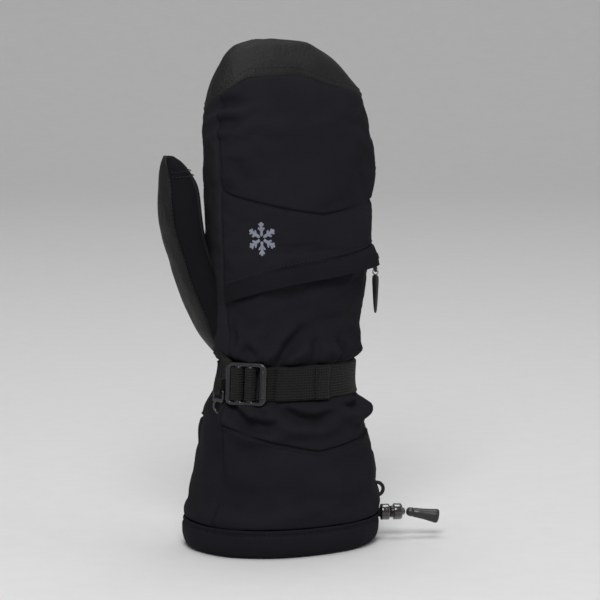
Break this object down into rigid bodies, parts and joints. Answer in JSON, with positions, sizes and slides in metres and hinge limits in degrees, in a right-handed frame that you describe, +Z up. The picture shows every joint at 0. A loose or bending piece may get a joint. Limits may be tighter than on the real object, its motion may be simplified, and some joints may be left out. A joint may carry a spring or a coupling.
{
  "type": "ski mitten",
  "caption": "Right-hand insulated ski mitten with a flared gauntlet cuff, wrist strap with ladder lock, back-of-hand zip pocket and cord cinch",
  "frame": {"origin": "middle of the cuff rim, which the mitten stands on", "axes": "+Z up to the fingertips, the back of the hand faces -Y, the thumb is on the -X side"},
  "size_m": [0.1851, 0.108, 0.334],
  "materials": {
    "cap_leather": "matte synthetic leather with a fine grain",
    "softshell": "dark stretch softshell weave",
    "cuff_fabric": "dark softshell",
    "embroidery": "satin stitch thread",
    "padding": "white synthetic wadding",
    "membrane": "thin translucent film on knit",
    "fleece": "short dark fleece",
    "lining_fabric": "plain dark lining",
    "elastic": "woven elastic",
    "label": "blank satin label",
    "webbing": "ribbed woven webbing",
    "thread": "dense thread",
    "zip_fabric": "woven tape",
    "zip_nylon": "nylon coil",
    "slider_metal": "black paint",
    "ring_wire": "dark plated wire",
    "buckle_plastic": "glossy moulded acetal",
    "lock_plastic": "smoky translucent plastic",
    "toggle_rubber": "satin soft rubber",
    "cord": "braided elastic cord"
  },
  "bodies": {
    "shell": {"fingertip_cap": "cap_leather", "palm_panel": "cap_leather", "thumb_palm_panel": "cap_leather", "back_upper_panel": "softshell", "back_mid_panel": "softshell", "back_lower_panel": "softshell", "side_gusset": "softshell", "outer_side_panel": "softshell", "thumb_back_panel": "softshell", "thumb_inner_panel": "softshell", "pocket_flap": "softshell", "wrist_palm_panel": "cuff_fabric", "cuff_back_panel": "cuff_fabric", "cuff_thumb_gusset": "cuff_fabric", "cuff_palm_panel": "cuff_fabric", "cuff_hem": "cuff_fabric", "emblem_patch": "embroidery", "hand_padding": "padding", "thumb_padding": "padding", "cuff_padding": "padding", "waterproof_insert": "membrane", "hand_lining": "fleece", "thumb_lining": "fleece", "cuff_lining": "lining_fabric", "pocket_bag": "lining_fabric", "wrist_elastic": "elastic", "care_label": "label", "strap_anchor": "webbing", "strap_webbing": "webbing", "clip_loop": "webbing", "cord_lock_tab": "webbing", "strap_bartacks": "thread", "zip_tape": "zip_fabric", "zip_coil": "zip_nylon", "zip_top_stop": "zip_nylon", "zip_bottom_stop": "zip_nylon", "cord_lock_body": "lock_plastic", "drawcord_channel": "cord", "drawcord_loop": "cord"},
    "zip_runner": {"zip_slider": "slider_metal"},
    "zip_pull": {"zip_ring": "ring_wire", "zip_tab": "zip_fabric"},
    "strap_buckle": {"ladder_lock": "buckle_plastic", "strap_weave": "webbing"},
    "strap_end": {"strap_tail": "webbing"},
    "clip": {"pair_clip": "buckle_plastic"},
    "lock_button": {"cord_lock_button": "lock_plastic"},
    "cord_pull": {"drawcord_end": "cord"},
    "toggle": {"cord_toggle": "toggle_rubber"}
  },
  "joints": [
    {"name": "zip_travel", "type": "hinge", "parent": "shell", "child": "zip_runner", "pos_m": [0.012, 0.049, 0.1595], "axis": [-0.1828, 0.2874, 0.9402], "range_deg": [-44, 0]},
    {"name": "zip_pull_swing", "type": "hinge", "parent": "zip_runner", "child": "zip_pull", "pos_m": [0.05891, -0.02498, 0.18251], "axis": [-0.8445, -0.5356, -0.0004], "range_deg": [0, 50]},
    {"name": "buckle_tilt", "type": "hinge", "parent": "shell", "child": "strap_buckle", "pos_m": [-0.04638, -0.01732, 0.1135], "axis": [-0.0739, -0.0739, -0.9945], "range_deg": [0, 30], "stiffness_Nm_per_rad": 0.02},
    {"name": "strap_end_lift", "type": "hinge", "parent": "strap_buckle", "child": "strap_end", "pos_m": [-0.02037, -0.0348, 0.11315], "axis": [0, 0, -1], "range_deg": [0, 28], "stiffness_Nm_per_rad": 0.01},
    {"name": "clip_swing", "type": "hinge", "parent": "shell", "child": "clip", "pos_m": [-0.05024, -0.01085, 0.1075], "axis": [-0.3746, 0.9272, 0], "range_deg": [0, 80]},
    {"name": "cord_lock_press", "type": "slide", "parent": "shell", "child": "lock_button", "axis": [-0.9397, 0.342, 0], "range_m": [0, 0.0022], "stiffness_N_per_m": 600},
    {"name": "cord_draw", "type": "slide", "parent": "shell", "child": "cord_pull", "axis": [0.9397, -0.342, 0], "range_m": [0, 0.012]},
    {"name": "toggle_swing", "type": "hinge", "parent": "cord_pull", "child": "toggle", "pos_m": [0.08168, -0.02756, 0.0175], "axis": [0.342, 0.9397, 0], "range_deg": [-35, 35], "stiffness_Nm_per_rad": 0.03}
  ]
}
